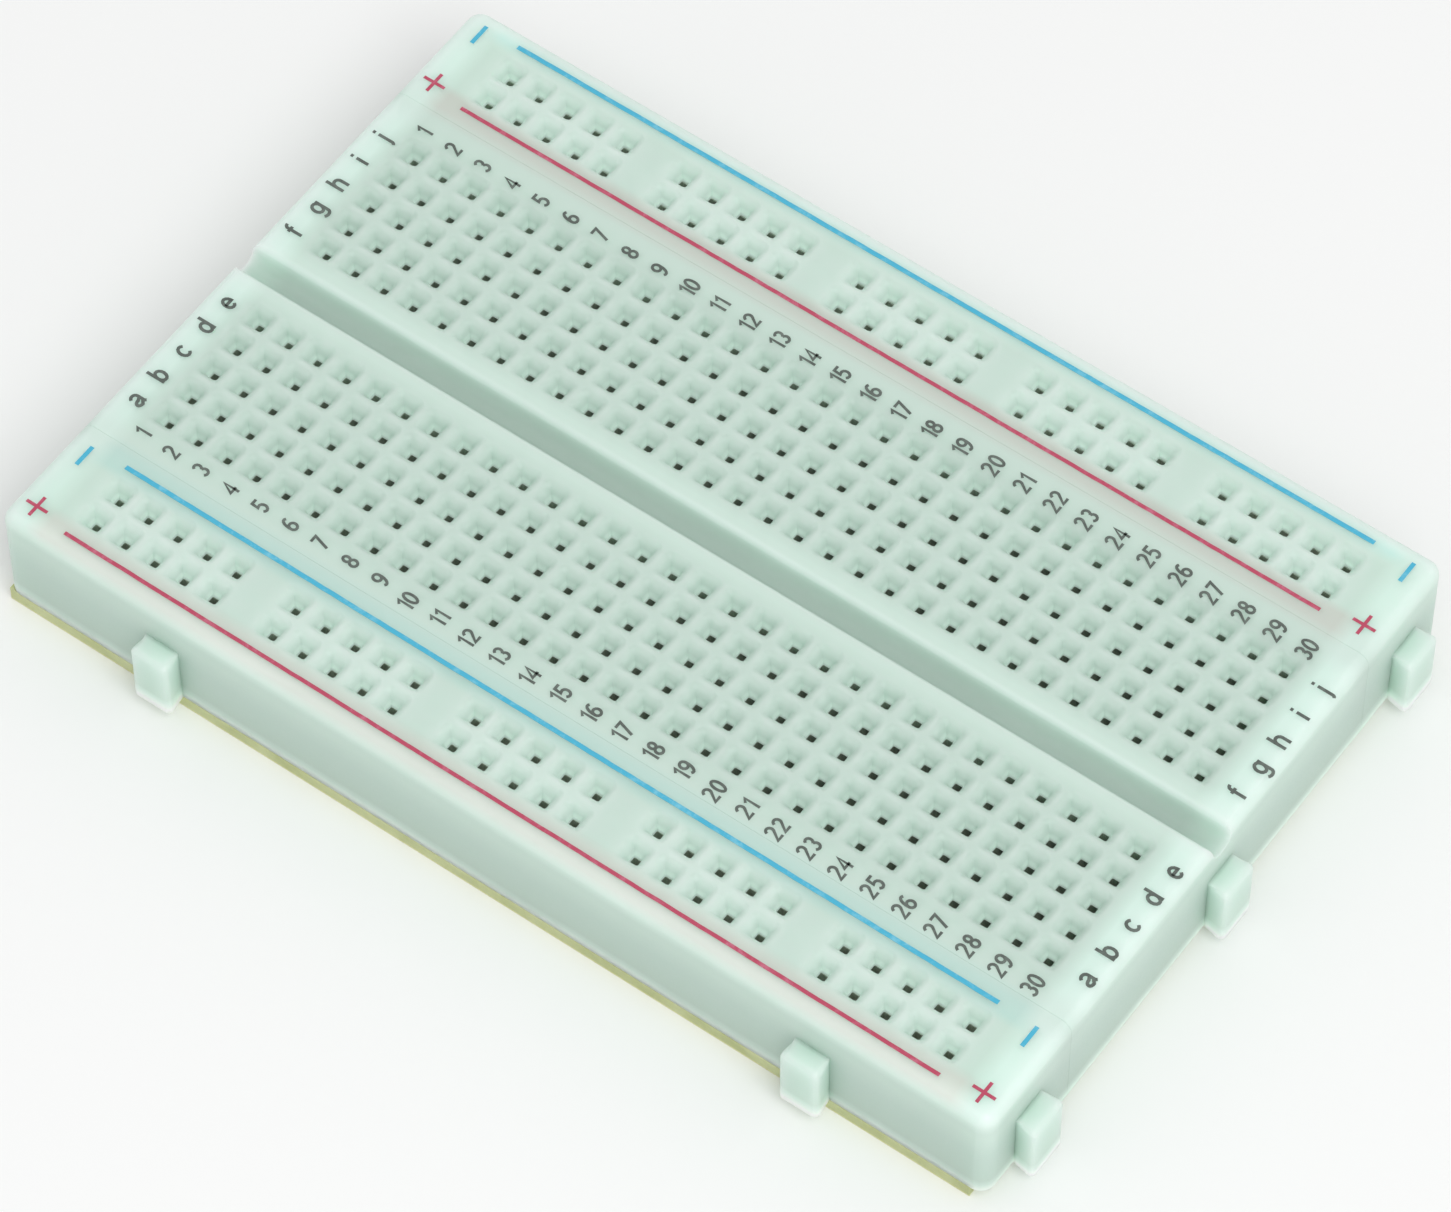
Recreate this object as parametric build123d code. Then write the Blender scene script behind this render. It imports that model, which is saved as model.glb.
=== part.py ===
from build123d import *
import os

# Half-size solderless breadboard: one terminal strip and two clip-on power rails.
# Millimetres. +X runs along columns 1 to 30, +Y from the front rail to the back
# rail, +Z up out of the tie points. z = 0 is the underside of the release liners.

# --- grid ---------------------------------------------------------------------
pitch = 2.54                 # tie-point pitch both ways
columns = 30                 # terminal columns
rows_per_bank = 5            # a-e and f-j
bank_gap_pitches = 3         # rows e and f stand this many pitches apart
rail_groups = 5              # groups of tie points along a rail
rail_group_size = 5          # tie points in one group, one pitch missing between groups
rail_row_shift = 0.15        # rail rows sit this far off the rail's middle, inwards

# --- housings -----------------------------------------------------------------
strip_length = 82.4          # all three strips, along X
main_width = 35.4            # terminal strip, along Y
rail_width = 9.5             # one power rail, along Y
strip_gap = 0.05             # air between neighbouring strips
housing_height = 9.1         # moulded housing alone
corner_radius = 0.8          # upright corners of the whole board
rim_radius = 0.6             # rounding round the board's top; seams are left sharp

# --- tie points and contact slots ---------------------------------------------
funnel_side = 2.30           # square lead-in at the top face
funnel_depth = 0.95
hole_side = 0.80             # square throat
throat_length = 0.60
slot_width = 1.90            # slot that holds one contact clip
slot_end_margin = 1.15       # slot past its last tie point
channel_width = 2.40         # groove between the two banks
channel_depth = 1.60

# --- contact clips ------------------------------------------------------------
sheet = 0.25                 # phosphor bronze sheet
clip_side_clearance = 0.12   # clip to slot wall, each side
clip_end_clearance = 0.15    # clip to slot end, each end
clip_top_clearance = 0.30    # leaf tips to slot roof
leaf_shoulder = 3.2          # straight part of the clip wall, above its web
leaf_root = 1.0              # unslit part of the clip wall, above its web
leaf_slit = 0.54             # slit between neighbouring leaves
pinch_gap = 0.20             # gap between facing leaves with no lead in it
mouth_drop = 1.30            # pinch line below the leaf tips
mouth_gap = 0.96             # gap between facing leaf tips

# --- dovetails ----------------------------------------------------------------
tab_reach = 1.70             # how far a tab stands out
tab_top_drop = 3.65          # tab top below the housing's top face
tab_round = 0.45             # rounding of the tab's outer top edge
side_tab_root = 2.80         # the two tabs on a long side
side_tab_tip = 3.30
side_tab_x = 27.2            # either side of the middle
end_tab_root = 2.90          # the tab on a short side, at the strip's middle
end_tab_tip = 3.60
dovetail_clearance = 0.10    # socket to tab, all round
socket_headroom = 0.15       # socket roof above the tab

# --- foam pad and release liner -----------------------------------------------
foam_thickness = 1.15
liner_thickness = 0.15
pad_side_inset = 0.10        # pad inside the housing, each long side
pad_left_inset = 0.10        # pad inside the housing, column 1 end
pad_right_inset = 1.30       # pad inside the housing, column 30 end
pad_notch_clearance = 0.35   # pad cut back round a neighbour's tab

# --- derived ------------------------------------------------------------------
foot_z = liner_thickness + foam_thickness
top_z = foot_z + housing_height
half_length = strip_length / 2
main_half = main_width / 2
rail_offset = main_half + strip_gap + rail_width / 2
first_row = bank_gap_pitches * pitch / 2
bank_span = (rows_per_bank - 1) * pitch
bank_middle = first_row + bank_span / 2
slot_roof_z = top_z - funnel_depth - throat_length
rail_slots = rail_groups * (rail_group_size + 1) - 1
rail_span = (rail_slots - 1) * pitch
clip_top_z = slot_roof_z - clip_top_clearance
tab_top_z = top_z - tab_top_drop


def block(x0, x1, y0, y1, z0, z1):
    """Box between two corners."""
    return Pos((x0 + x1) / 2, (y0 + y1) / 2, (z0 + z1) / 2) * Box(x1 - x0, y1 - y0, z1 - z0)


def prism(points, z0, z1):
    """Upright prism over a closed outline."""
    face = make_face(Polyline(*points, close=True))
    return extrude(Pos(0, 0, z0) * face, amount=z1 - z0, dir=(0, 0, 1))


def shell(y0, y1):
    """One strip's length of the board: a block rounded as the whole board is, cut off square."""
    half_width = rail_offset + rail_width / 2
    body = Pos(0, 0, foot_z + housing_height / 2) * Box(strip_length, 2 * half_width, housing_height)
    body = fillet(body.edges().filter_by(Axis.Z), corner_radius)
    body = fillet(body.faces().sort_by(Axis.Z)[-1].edges(), rim_radius)
    margin = 1
    body = body & block(-half_length - margin, half_length + margin, y0, y1,
                        foot_z - margin, top_z + margin)
    return body


def tie_point(x, y):
    """Cutting tool for one tie point: pyramid lead-in over a square throat."""
    over = 0.2
    slope = (funnel_side - hole_side) / funnel_depth
    mouth = funnel_side + slope * over
    funnel_top = Pos(x, y, top_z + over) * Rectangle(mouth, mouth)
    funnel_foot = Pos(x, y, top_z - funnel_depth) * Rectangle(hole_side, hole_side)
    half = hole_side / 2
    z_low = slot_roof_z - clip_top_clearance
    z_high = top_z - funnel_depth + 0.05
    throat = block(x - half, x + half, y - half, y + half, z_low, z_high)
    return [loft([funnel_foot, funnel_top]), throat]


def tab_outline(root, tip):
    """Dovetail seen from above: root on y = 0, tip at -y."""
    return [(-root / 2, 0.3), (-root / 2, 0), (-tip / 2, -tab_reach), (tip / 2, -tab_reach),
            (root / 2, 0), (root / 2, 0.3)]


def tab(root, tip):
    """Dovetail tab standing out of y = 0 towards -Y, its outer top edge rounded."""
    solid = prism(tab_outline(root, tip), foot_z, tab_top_z)
    outer = solid.edges().filter_by(Axis.X).filter_by_position(Axis.Y, -tab_reach - 0.01,
                                                               -tab_reach + 0.01)
    return fillet(outer.sort_by(Axis.Z)[-1], tab_round)


def socket(root, tip, c):
    """Cutting tool for the space a neighbour's tab drops into, that tab's root at y = 0."""
    outline = [(-root / 2 - c, 0.3), (-root / 2 - c, 0), (-tip / 2 - c, -tab_reach - c),
               (tip / 2 + c, -tab_reach - c), (root / 2 + c, 0), (root / 2 + c, 0.3)]
    return prism(outline, -0.3, tab_top_z + socket_headroom)


def side_tabs(y_face):
    """The two tabs on a strip's front long side."""
    return [Pos(s * side_tab_x, y_face, 0) * tab(side_tab_root, side_tab_tip) for s in (-1, 1)]


def side_sockets(y_face, c):
    """The two sockets in a strip's back long side, for the next strip's tabs."""
    return [Pos(s * side_tab_x, y_face + strip_gap, 0) * socket(side_tab_root, side_tab_tip, c)
            for s in (-1, 1)]


def end_tab(y):
    """The tab on a strip's column 30 end."""
    return Pos(half_length, y, 0) * Rot(0, 0, 90) * tab(end_tab_root, end_tab_tip)


def end_socket(y, c):
    """The socket in a strip's column 1 end, for the tab of a board laid end to end."""
    place = Pos(-half_length - strip_gap, y, 0) * Rot(0, 0, 90)
    return place * socket(end_tab_root, end_tab_tip, c)


def sockets(width, y_mid, c):
    """All three sockets of one strip."""
    return side_sockets(y_mid + width / 2, c) + [end_socket(y_mid, c)]


def finish_housing(body, tools):
    """One cut for everything, returned as a single solid."""
    cut = body.cut(*tools)
    solids = cut.solids()
    return solids[0] if len(solids) == 1 else Compound(children=list(solids))


def column_x(i):
    return (i - (columns - 1) / 2) * pitch


def bank_rows(side):
    return [side * (first_row + k * pitch) for k in range(rows_per_bank)]


def rail_xs():
    """X of every tie point in one rail row; one place in six has none."""
    places = [k for k in range(rail_slots) if k % (rail_group_size + 1) != rail_group_size]
    return [(k - (rail_slots - 1) / 2) * pitch for k in places]


def rail_rows(side):
    """Y of the rail's two rows, outer row first."""
    middle = side * (rail_offset - rail_row_shift)
    return [middle + side * pitch / 2, middle - side * pitch / 2]


def make_terminal_strip():
    body = shell(-main_half, main_half)
    for piece in side_tabs(-main_half) + [end_tab(0)]:
        body = body + piece
    tools = sockets(main_width, 0, dovetail_clearance)
    for side in (-1, 1):
        for i in range(columns):
            for y in bank_rows(side):
                tools += tie_point(column_x(i), y)
            x = column_x(i)
            y0 = side * bank_middle - bank_span / 2 - slot_end_margin
            y1 = side * bank_middle + bank_span / 2 + slot_end_margin
            tools.append(block(x - slot_width / 2, x + slot_width / 2, y0, y1,
                               foot_z - 0.3, slot_roof_z))
    radius = channel_width / 2
    floor_z = top_z - channel_depth + radius
    reach = strip_length + 6
    tools.append(Pos(0, 0, floor_z) * Rot(0, 90, 0) * Cylinder(radius, reach))
    tools.append(block(-reach / 2, reach / 2, -radius, radius, floor_z, top_z + 1))
    return finish_housing(body, tools)


def make_rail(side):
    y_mid = side * rail_offset
    body = shell(y_mid - rail_width / 2, y_mid + rail_width / 2)
    for piece in side_tabs(y_mid - rail_width / 2) + [end_tab(y_mid)]:
        body = body + piece
    tools = sockets(rail_width, y_mid, dovetail_clearance)
    reach = rail_span / 2 + slot_end_margin
    for y in rail_rows(side):
        for x in rail_xs():
            tools += tie_point(x, y)
        tools.append(block(-reach, reach, y - slot_width / 2, y + slot_width / 2,
                           foot_z - 0.3, slot_roof_z))
    return finish_housing(body, tools)


def clip(span, contacts):
    """Folded contact clip along X: web below, pairs of leaves that pinch and flare.

    contacts lists where along X a pair of leaves is left standing.
    """
    half = slot_width / 2 - clip_side_clearance
    z0 = foot_z
    shoulder_z = z0 + sheet + leaf_shoulder
    pinch_z = clip_top_z - mouth_drop
    outline = [(-half, z0), (half, z0), (half, shoulder_z),
               (pinch_gap / 2 + sheet, pinch_z), (mouth_gap / 2 + sheet, clip_top_z),
               (mouth_gap / 2, clip_top_z), (pinch_gap / 2, pinch_z),
               (half - sheet, shoulder_z), (half - sheet, z0 + sheet),
               (-half + sheet, z0 + sheet), (-half + sheet, shoulder_z),
               (-pinch_gap / 2, pinch_z), (-mouth_gap / 2, clip_top_z),
               (-mouth_gap / 2 - sheet, clip_top_z), (-pinch_gap / 2 - sheet, pinch_z),
               (-half, shoulder_z)]
    length = span + 2 * (slot_end_margin - clip_end_clearance)
    face = make_face(Polyline(*outline, close=True))
    body = extrude(Plane.YZ * face, amount=length / 2, both=True)
    leaf = pitch - leaf_slit
    z_cut = z0 + sheet + leaf_root
    edges = [-length / 2 - 1]
    for x in contacts:
        edges += [x - leaf / 2, x + leaf / 2]
    edges.append(length / 2 + 1)
    tools = []
    for a, b in zip(edges[0::2], edges[1::2]):
        tools.append(block(a, b, -slot_width, slot_width, z_cut, top_z))
    return body.cut(*tools).solids()[0]


def pad(width, y_mid, z0, z1):
    """Flat pad under one strip, cut short of the housing and notched below its sockets."""
    half = width / 2 - pad_side_inset
    sheet_block = block(-half_length + pad_left_inset, half_length - pad_right_inset,
                        y_mid - half, y_mid + half, z0, z1)
    return sheet_block.cut(*sockets(width, y_mid, pad_notch_clearance)).solids()[0]


os.makedirs("parts", exist_ok=True)


def save(name, solids):
    shape = solids[0] if len(solids) == 1 else Compound(children=solids)
    shape.label = name
    export_step(shape, f"parts/{name}.step")


save("terminal_strip_housing", [make_terminal_strip()])
save("front_rail_housing", [make_rail(-1)])
save("back_rail_housing", [make_rail(1)])

# Contact clips of the terminal strip: each column has one under a-e and one under f-j.
bank_contacts = [(k - (rows_per_bank - 1) / 2) * pitch for k in range(rows_per_bank)]
terminal_clip = Rot(0, 0, 90) * clip(bank_span, bank_contacts)
for i in range(columns):
    pair = [Pos(column_x(i), side * bank_middle, 0) * terminal_clip for side in (-1, 1)]
    save(f"terminal_clips_{i + 1:02d}", pair)

# Bus clips of the rails: one full-length clip under each row.
bus_clip = clip(rail_span, rail_xs())
for label, side in (("front", -1), ("back", 1)):
    for row, y in zip(("outer", "inner"), rail_rows(side)):
        save(f"{label}_rail_{row}_bus_clip", [Pos(0, y, 0) * bus_clip])

# Double-sided foam pads, each with its own peel-off liner.
for label, width, y_mid in (("terminal_strip", main_width, 0),
                            ("front_rail", rail_width, -rail_offset),
                            ("back_rail", rail_width, rail_offset)):
    save(f"{label}_foam_pad", [pad(width, y_mid, liner_thickness, foot_z)])
    save(f"{label}_release_liner", [pad(width, y_mid, 0, liner_thickness)])
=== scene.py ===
import math
import random

import bmesh
import bpy
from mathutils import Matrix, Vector


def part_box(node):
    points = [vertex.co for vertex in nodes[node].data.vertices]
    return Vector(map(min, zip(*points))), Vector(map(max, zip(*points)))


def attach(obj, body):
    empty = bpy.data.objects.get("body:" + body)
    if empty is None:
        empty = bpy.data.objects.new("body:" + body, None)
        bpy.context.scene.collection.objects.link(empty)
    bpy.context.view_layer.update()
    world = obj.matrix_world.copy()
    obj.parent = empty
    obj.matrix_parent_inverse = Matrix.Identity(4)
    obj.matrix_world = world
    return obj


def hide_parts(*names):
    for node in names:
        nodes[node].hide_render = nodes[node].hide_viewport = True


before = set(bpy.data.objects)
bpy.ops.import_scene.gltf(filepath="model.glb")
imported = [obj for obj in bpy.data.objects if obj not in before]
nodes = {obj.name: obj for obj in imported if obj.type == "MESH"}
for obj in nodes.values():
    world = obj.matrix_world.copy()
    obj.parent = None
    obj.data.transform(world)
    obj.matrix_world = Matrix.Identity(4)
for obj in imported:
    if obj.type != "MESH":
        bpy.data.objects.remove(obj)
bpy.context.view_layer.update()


# ---------------------------------------------------------------------------
# Housing plastic. All three strips are injection moulded in one mint-white
# ABS that lets a little light through, with a fine satin skin off the tool.
# ---------------------------------------------------------------------------
def node(tree, kind, where=(0, 0), **settings):
    made = tree.nodes.new(kind)
    made.location = where
    for key, value in settings.items():
        setattr(made, key, value)
    return made


def new_material(name):
    material = bpy.data.materials.new(name)
    material.use_nodes = True
    tree = material.node_tree
    tree.nodes.clear()
    output = node(tree, "ShaderNodeOutputMaterial", (900, 0))
    shader = node(tree, "ShaderNodeBsdfPrincipled", (600, 0))
    tree.links.new(shader.outputs["BSDF"], output.inputs["Surface"])
    place = node(tree, "ShaderNodeTexCoord", (-900, 0))
    return material, tree, shader, place.outputs["Object"]


def noise(tree, source, scale, detail=2.0, where=(-600, 0), roughness=0.5):
    made = node(tree, "ShaderNodeTexNoise", where)
    made.inputs["Scale"].default_value = scale
    made.inputs["Detail"].default_value = detail
    made.inputs["Roughness"].default_value = roughness
    tree.links.new(source, made.inputs["Vector"])
    return made.outputs["Fac"]


def remap(tree, source, low, high, to_low, to_high, where=(-300, 0)):
    made = node(tree, "ShaderNodeMapRange", where)
    for socket, value in (("From Min", low), ("From Max", high), ("To Min", to_low), ("To Max", to_high)):
        made.inputs[socket].default_value = value
    tree.links.new(source, made.inputs["Value"])
    return made.outputs["Result"]


def bump(tree, shader, height, strength, distance, where=(300, -300)):
    made = node(tree, "ShaderNodeBump", where)
    made.inputs["Strength"].default_value = strength
    made.inputs["Distance"].default_value = distance
    tree.links.new(height, made.inputs["Height"])
    tree.links.new(made.outputs["Normal"], shader.inputs["Normal"])


def colour_ramp(tree, source, stops, where=(0, 0)):
    made = node(tree, "ShaderNodeValToRGB", where)
    ramp = made.color_ramp
    ramp.elements[0].position, ramp.elements[0].color = stops[0][0], (*stops[0][1], 1)
    ramp.elements[1].position, ramp.elements[1].color = stops[-1][0], (*stops[-1][1], 1)
    for position, colour in stops[1:-1]:
        ramp.elements.new(position).color = (*colour, 1)
    tree.links.new(source, made.inputs["Fac"])
    return made.outputs["Color"]


def arithmetic(tree, operation, first, second, where=(-300, 200), vector=False):
    """One maths node; either input may be a socket or a plain value."""
    made = node(tree, "ShaderNodeVectorMath" if vector else "ShaderNodeMath", where, operation=operation)
    for slot, value in ((0, first), (1, second)):
        if isinstance(value, bpy.types.NodeSocket):
            tree.links.new(value, made.inputs[slot])
        elif value is not None:
            made.inputs[slot].default_value = value
    return made.outputs[0]


PAINTED_SEAM_Y = 0.01772
THIN_SKIN_SHADE = 0.865
BANK_SHADE = 0.885
CHANNEL_SHADE = 0.92
LEAD_IN_PAINTED_LIGHT = 1.05
TAB_PAINTED_LIGHT = 1.20
THROAT_GLOW = 0.21
EVEN_TOP_COLOUR = (0.715, 0.885, 0.793, 1)
mint_plastic, tree, shader, here = new_material("mint_abs_plastic")
split = node(tree, "ShaderNodeSeparateXYZ", (-1100, 300))
tree.links.new(here, split.inputs[0])
across_x = arithmetic(tree, "ABSOLUTE", split.outputs["X"], None, (-900, 500))
across_y = arithmetic(tree, "ABSOLUTE", split.outputs["Y"], None, (-900, 350))
# Painted light and shade: lighter at the top and along the foot, where no clip shows through the wall,
# painted darker in between.
foot_to_top = remap(tree, split.outputs["Z"], 0.0013, 0.0104, 0.0, 0.95, (-700, 300))
flow = noise(tree, here, 70.0, 3.0, (-700, 0))
flow_share = arithmetic(tree, "MULTIPLY", flow, 0.10, (-500, 100))
height = arithmetic(tree, "ADD", flow_share, foot_to_top, (-350, 200))
painted_shade_by_height = colour_ramp(tree, height, [
    (0.09, (0.720, 0.900, 0.790)),
    (0.15, (0.540, 0.685, 0.605)),
    (0.21, (0.455, 0.580, 0.507)),
    (0.54, (0.490, 0.622, 0.553)),
    (0.76, (0.550, 0.685, 0.610)),
    (0.84, (0.545, 0.680, 0.608)),
    (0.91, (0.600, 0.740, 0.665)),
    (0.97, (0.668, 0.828, 0.748)),
    (1.00, (0.708, 0.877, 0.795)),
], (-150, 400))
# Painted shade: over the hollow slots the skin is thin and is painted darker than over the solid ends, rims
# and channel.
ends = remap(tree, across_x, 0.0378, 0.0392, 0.0, 1.0, (-700, 600))
rims = remap(tree, across_y, 0.0246, 0.0262, 0.0, 1.0, (-700, 450))
channel = remap(tree, across_y, 0.00130, 0.00150, 1.0, 0.0, (-700, 750))
ends_and_rims = arithmetic(tree, "MAXIMUM", ends, rims, (-500, 550))
solid = arithmetic(tree, "MAXIMUM", ends_and_rims, channel, (-400, 650))
hollow = remap(tree, solid, 0.0, 1.0, 1.0, 0.0, (-350, 700))
painted_light_and_shade = remap(tree, solid, 0.0, 1.0, THIN_SKIN_SHADE, 1.0, (-350, 550))
# Painted light: each lead-in is painted a little lighter, as if by light from the walls around it, down to
# its throat.
sunk = remap(tree, split.outputs["Z"], 0.0095, 0.0103, 1.0, 0.0, (-350, 850))
sunk_and_hollow = arithmetic(tree, "MULTIPLY", sunk, hollow, (-200, 800))
lead_in_painted_light = remap(tree, sunk_and_hollow, 0.0, 1.0, 1.0, LEAD_IN_PAINTED_LIGHT, (-100, 850))
painted_light_and_shade = arithmetic(tree, "MULTIPLY", painted_light_and_shade, lead_in_painted_light, (-100, 650))
# Painted shade: the chip channel is painted darker, except near the ends.
channel_only = arithmetic(tree, "SUBTRACT", channel, ends, (-550, 1200))
channel_shade = remap(tree, channel_only, 0.0, 1.0, 1.0, CHANNEL_SHADE, (-400, 1200))
painted_light_and_shade = arithmetic(tree, "MULTIPLY", painted_light_and_shade, channel_shade, (-80, 750))
# Painted shade: the two banks, which have the most slots under them, are painted darker.
bank_start = remap(tree, across_y, 0.0020, 0.0032, 0.0, 1.0, (-900, 900))
bank_end = remap(tree, across_y, 0.0148, 0.0160, 1.0, 0.0, (-900, 1050))
bank_span = arithmetic(tree, "MULTIPLY", bank_start, bank_end, (-700, 950))
bank = arithmetic(tree, "MULTIPLY", bank_span, hollow, (-550, 950))
bank_shade = remap(tree, bank, 0.0, 1.0, 1.0, BANK_SHADE, (-400, 1000))
painted_light_and_shade = arithmetic(tree, "MULTIPLY", painted_light_and_shade, bank_shade, (-50, 700))
# Painted light: the tabs are painted lighter, since they are small and let light through from every side.
end_tabs = remap(tree, across_x, 0.04125, 0.04150, 1.0, TAB_PAINTED_LIGHT, (-350, 1000))
side_tabs = remap(tree, split.outputs["Y"], -0.02755, -0.02730, TAB_PAINTED_LIGHT, 1.0, (-350, 1150))
tab_painted_light = arithmetic(tree, "MULTIPLY", end_tabs, side_tabs, (-100, 1000))
painted_light_and_shade = arithmetic(tree, "MULTIPLY", painted_light_and_shade, tab_painted_light, (50, 800))
# Painted tinted light: the plastic beside the printed lines is painted with a breath of their colour, as
# light coming through the ink would tint it.
front_to_back = remap(tree, split.outputs["Y"], -0.02725, 0.02725, 0.0, 1.0, (-700, 150))
clear, blushed, cooled = (1, 1, 1), (0.985, 0.86, 0.87), (0.89, 0.985, 1.0)
tints_by_mm = (
    (-26.9, blushed), (-25.3, blushed), (-24.4, clear),
    (-20.3, clear), (-19.6, cooled), (-18.3, cooled), (-17.2, clear),
    (17.2, clear), (18.3, blushed), (19.6, blushed), (20.3, clear),
    (24.9, clear), (25.8, cooled), (26.6, clear),
)
tint_stops = [((y + 27.25) / 54.5, tint) for y, tint in tints_by_mm]
line_tint_painted_light = colour_ramp(tree, front_to_back, [(0.0, clear)] + tint_stops + [(1.0, clear)], (-400, 50))
line_tint_mix = node(tree, "ShaderNodeMix", (-100, 50), data_type="RGBA")
tree.links.new(ends, line_tint_mix.inputs["Factor"])
tree.links.new(line_tint_painted_light, line_tint_mix.inputs[6])
line_tint_mix.inputs[7].default_value = (1, 1, 1, 1)
even = node(tree, "ShaderNodeMix", (50, 500), data_type="RGBA")
tree.links.new(hollow, even.inputs["Factor"])
tree.links.new(painted_shade_by_height, even.inputs[6])
even.inputs[7].default_value = EVEN_TOP_COLOUR
tinted = arithmetic(tree, "MULTIPLY", even.outputs[2], line_tint_mix.outputs[2], (150, 350), vector=True)
body_colour = node(tree, "ShaderNodeVectorMath", (330, 350), operation="SCALE")
tree.links.new(tinted, body_colour.inputs[0])
tree.links.new(painted_light_and_shade, body_colour.inputs["Scale"])
tree.links.new(body_colour.outputs[0], shader.inputs["Base Color"])
grain = noise(tree, here, 5200.0, 2.0, (-700, -300))
tree.links.new(remap(tree, grain, 0.3, 0.7, 0.36, 0.47, (0, -100)), shader.inputs["Roughness"])
bump(tree, shader, grain, 0.12, 0.00002)
# A faint glow in the throats stands for daylight that soaks through the thin walls between them.
deep = remap(tree, split.outputs["Z"], 0.00965, 0.00925, 0.0, 1.0, (-300, -500))
not_slot = remap(tree, split.outputs["Z"], 0.0072, 0.0082, 0.0, 1.0, (-300, -650))
throat = arithmetic(tree, "MULTIPLY", deep, not_slot, (-100, -550))
glow = arithmetic(tree, "MULTIPLY", throat, hollow, (50, -550))
glow_strength = arithmetic(tree, "MULTIPLY", glow, THROAT_GLOW, (200, -550))
tree.links.new(glow_strength, shader.inputs["Emission Strength"])
shader.inputs["Emission Color"].default_value = (0.80, 1.0, 0.90, 1)
# Light can't cross from one moulding to the next, so its spread under the skin fades out at the seams.
past_seam = arithmetic(tree, "SUBTRACT", across_y, PAINTED_SEAM_Y, (-700, -150))
off_seam = arithmetic(tree, "ABSOLUTE", past_seam, None, (-500, -150))
spread = remap(tree, off_seam, 0.0, 0.0020, 0.04, 1.0, (-300, -150))
tree.links.new(spread, shader.inputs["Subsurface Weight"])
shader.inputs["Subsurface Radius"].default_value = (1.0, 1.0, 1.0)
shader.inputs["Subsurface Scale"].default_value = 0.0032
shader.inputs["IOR"].default_value = 1.5
shader.inputs["Specular IOR Level"].default_value = 0.4


# ---------------------------------------------------------------------------
# Terminal strip housing. One moulding holds two banks of thirty columns of
# five tie points either side of a round-bottomed chip channel, with dovetail
# tabs on its front and column 30 sides and sockets on the other two.
# ---------------------------------------------------------------------------
PITCH = 0.00254
TAB_REACH = 0.0017
main_low, main_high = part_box("terminal_strip_housing")
rail_low, rail_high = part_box("front_rail_housing")
FOOT_Z, TOP_Z = main_low[2], main_high[2]
HALF_LENGTH = -main_low[0]
HALF_WIDTH = -rail_low[1] - TAB_REACH
SEAM_Y = (main_high[1] - rail_high[1]) / 2
SEAM_GAP = 0.000014
UPRIGHT_CORNER, TOP_RIM, FOOT_BREAK = 0.0011, 0.0009, 0.00012
TAB_TOP_Z = TOP_Z - 0.00365
TAB_ROUND = 0.00045
SIDE_TAB_X = 0.0272
SIDE_TAB_ROOT, SIDE_TAB_TIP = 0.0028, 0.0033
END_TAB_ROOT, END_TAB_TIP = 0.0029, 0.0036
TAB_SUNK_IN = 0.0004
SOCKET_CLEARANCE, SOCKET_HEADROOM = 0.0001, 0.00015
TOOL_PAST_FOOT, TOOL_PAST_TOP = 0.0005, 0.0006


def mesh_object(name, vertices, faces):
    mesh = bpy.data.meshes.new(name)
    mesh.from_pydata([tuple(v) for v in vertices], [], faces)
    mesh.update()
    made = bpy.data.objects.new(name, mesh)
    bpy.context.scene.collection.objects.link(made)
    return made


def mend(mesh, merge=0.0):
    """Merges doubles if asked and turns every face outwards."""
    work = bmesh.new()
    work.from_mesh(mesh)
    if merge:
        bmesh.ops.remove_doubles(work, verts=work.verts, dist=merge)
    bmesh.ops.recalc_face_normals(work, faces=work.faces)
    work.to_mesh(mesh)
    work.free()
    mesh.update()


def block(name, low, high, corner=0.0, rim=0.0):
    """Plain block, or one with rounded upright corners, a rounded top rim and a broken foot edge."""
    work = bmesh.new()
    bmesh.ops.create_cube(work, size=1.0)
    for vertex in work.verts:
        for axis in range(3):
            vertex.co[axis] = low[axis] if vertex.co[axis] < 0 else high[axis]

    def soften(edges, radius, segments):
        bmesh.ops.bevel(work, geom=edges, offset=radius, offset_type="OFFSET", segments=segments,
                        profile=0.5, affect="EDGES")

    if corner:
        soften([e for e in work.edges if abs(e.verts[0].co.z - e.verts[1].co.z) > 1e-4], corner, 6)
        soften([e for e in work.edges if min(v.co.z for v in e.verts) > high[2] - 1e-6], rim, 6)
        soften([e for e in work.edges if max(v.co.z for v in e.verts) < low[2] + 1e-6], FOOT_BREAK, 2)
    mesh = bpy.data.meshes.new(name)
    bmesh.ops.recalc_face_normals(work, faces=work.faces)
    work.to_mesh(mesh)
    work.free()
    made = bpy.data.objects.new(name, mesh)
    bpy.context.scene.collection.objects.link(made)
    return made


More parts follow.
